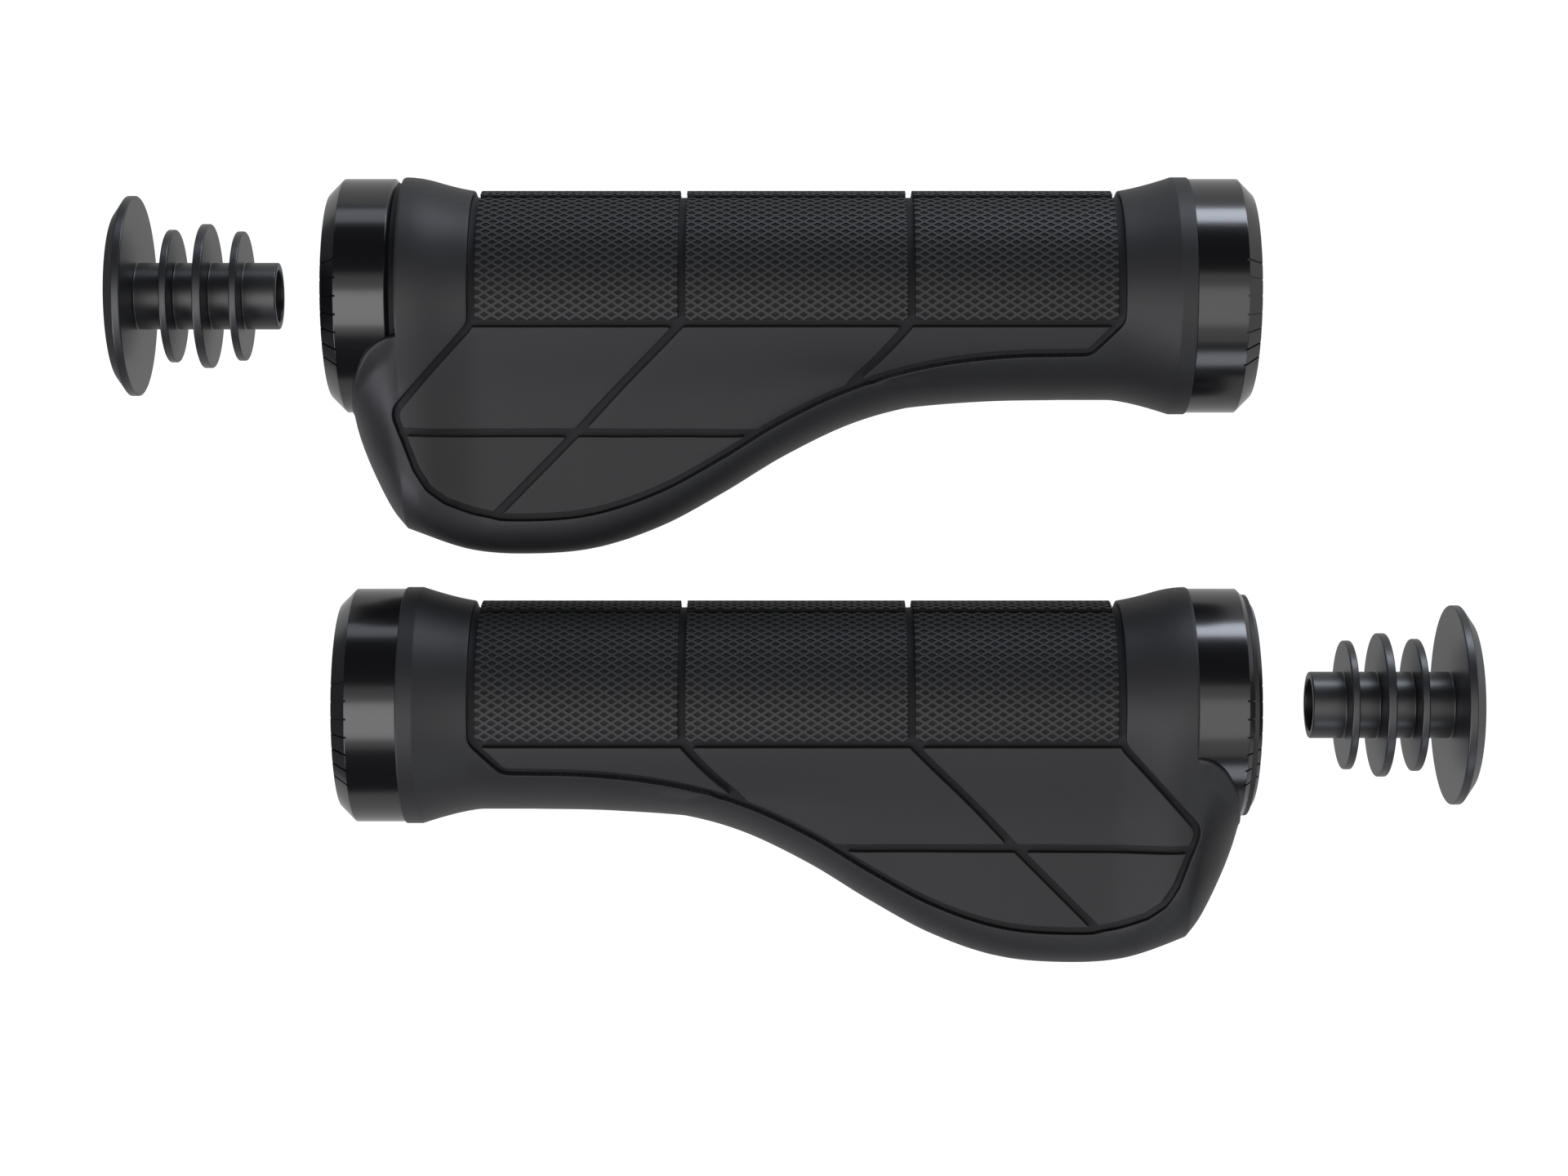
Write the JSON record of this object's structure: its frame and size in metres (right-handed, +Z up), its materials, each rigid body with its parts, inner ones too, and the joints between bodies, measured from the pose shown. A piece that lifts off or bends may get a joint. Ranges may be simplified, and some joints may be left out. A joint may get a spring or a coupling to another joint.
{
  "type": "bicycle handlebar grip set",
  "caption": "Pair of ergonomic lock-on handlebar grips with winged palm rests, split clamp rings with cross bolts, and finned bar end plugs.",
  "frame": {"origin": "centre of the set's bounding box in plan, on the plane the shells' collars rest on", "axes": "+X along the handlebars towards the rider's right, +Y forward, +Z up out of the palm rests"},
  "size_m": [0.2029, 0.118, 0.0358],
  "materials": {
    "sleeve": "moulded nylon, black",
    "shell_rubber": "satin black rubber",
    "knurled_pad": "soft black rubber with a raised diamond knurl",
    "smooth_pad": "soft dark grey rubber, matte",
    "clamp_ring": "gloss black anodised",
    "bolt": "black oxide steel",
    "plug": "semi-matte moulded black plastic"
  },
  "bodies": {
    "left_grip": {"left_core_sleeve": "sleeve", "left_rubber_shell": "shell_rubber", "left_top_pad_outer": "knurled_pad", "left_top_pad_middle": "knurled_pad", "left_top_pad_inner": "knurled_pad", "left_front_pad_outer": "knurled_pad", "left_front_pad_middle": "knurled_pad", "left_front_pad_inner": "knurled_pad", "left_palm_pad_outer": "smooth_pad", "left_palm_pad_middle": "smooth_pad", "left_palm_pad_inner": "smooth_pad", "left_heel_pad_outer": "smooth_pad", "left_heel_pad_inner": "smooth_pad"},
    "left_outer_clamp_ring": {"left_outer_clamp": "clamp_ring"},
    "left_outer_bolt": {"left_outer_clamp_bolt": "bolt"},
    "left_inner_clamp_ring": {"left_inner_clamp": "clamp_ring"},
    "left_inner_bolt": {"left_inner_clamp_bolt": "bolt"},
    "left_plug": {"left_end_plug": "plug"},
    "right_grip": {"right_core_sleeve": "sleeve", "right_rubber_shell": "shell_rubber", "right_top_pad_outer": "knurled_pad", "right_top_pad_middle": "knurled_pad", "right_top_pad_inner": "knurled_pad", "right_front_pad_outer": "knurled_pad", "right_front_pad_middle": "knurled_pad", "right_front_pad_inner": "knurled_pad", "right_palm_pad_outer": "smooth_pad", "right_palm_pad_middle": "smooth_pad", "right_palm_pad_inner": "smooth_pad", "right_heel_pad_outer": "smooth_pad", "right_heel_pad_inner": "smooth_pad"},
    "right_outer_clamp_ring": {"right_outer_clamp": "clamp_ring"},
    "right_outer_bolt": {"right_outer_clamp_bolt": "bolt"},
    "right_inner_clamp_ring": {"right_inner_clamp": "clamp_ring"},
    "right_inner_bolt": {"right_inner_clamp_bolt": "bolt"},
    "right_plug": {"right_end_plug": "plug"}
  },
  "joints": [
    {"name": "left_outer_clamp_slide", "type": "slide", "parent": "left_grip", "child": "left_outer_clamp_ring", "axis": [-1, 0, 0], "range_m": [-0.0015, 0.014]},
    {"name": "left_inner_clamp_slide", "type": "slide", "parent": "left_grip", "child": "left_inner_clamp_ring", "axis": [1, 0, 0], "range_m": [0, 0.014]},
    {"name": "left_outer_bolt_turn", "type": "hinge", "parent": "left_outer_clamp_ring", "child": "left_outer_bolt", "pos_m": [-0.0651, 0.04127, 0.0035], "axis": [0, 1, 0], "range_deg": [0, 630]},
    {"name": "left_inner_bolt_turn", "type": "hinge", "parent": "left_inner_clamp_ring", "child": "left_inner_bolt", "pos_m": [0.0635, 0.04127, 0.0035], "axis": [0, 1, 0], "range_deg": [0, 630]},
    {"name": "left_plug_slide", "type": "slide", "parent": "left_outer_clamp_ring", "child": "left_plug", "axis": [1, 0, 0], "range_m": [0, 0.0292]},
    {"name": "right_outer_clamp_slide", "type": "slide", "parent": "right_grip", "child": "right_outer_clamp_ring", "axis": [1, 0, 0], "range_m": [0, 0.014]},
    {"name": "right_inner_clamp_slide", "type": "slide", "parent": "right_grip", "child": "right_inner_clamp_ring", "axis": [-1, 0, 0], "range_m": [0, 0.014]},
    {"name": "right_outer_bolt_turn", "type": "hinge", "parent": "right_outer_clamp_ring", "child": "right_outer_bolt", "pos_m": [0.0635, -0.02022, 0.0035], "axis": [0, 1, 0], "range_deg": [0, 630]},
    {"name": "right_inner_bolt_turn", "type": "hinge", "parent": "right_inner_clamp_ring", "child": "right_inner_bolt", "pos_m": [-0.0635, -0.02022, 0.0035], "axis": [0, 1, 0], "range_deg": [0, 630]},
    {"name": "right_plug_slide", "type": "slide", "parent": "right_outer_clamp_ring", "child": "right_plug", "axis": [-1, 0, 0], "range_m": [0, 0.0302]},
    {"name": "right_grip_apart", "type": "slide", "parent": "left_grip", "child": "right_grip", "axis": [0, -1, 0], "range_m": [0, 0.04]}
  ]
}
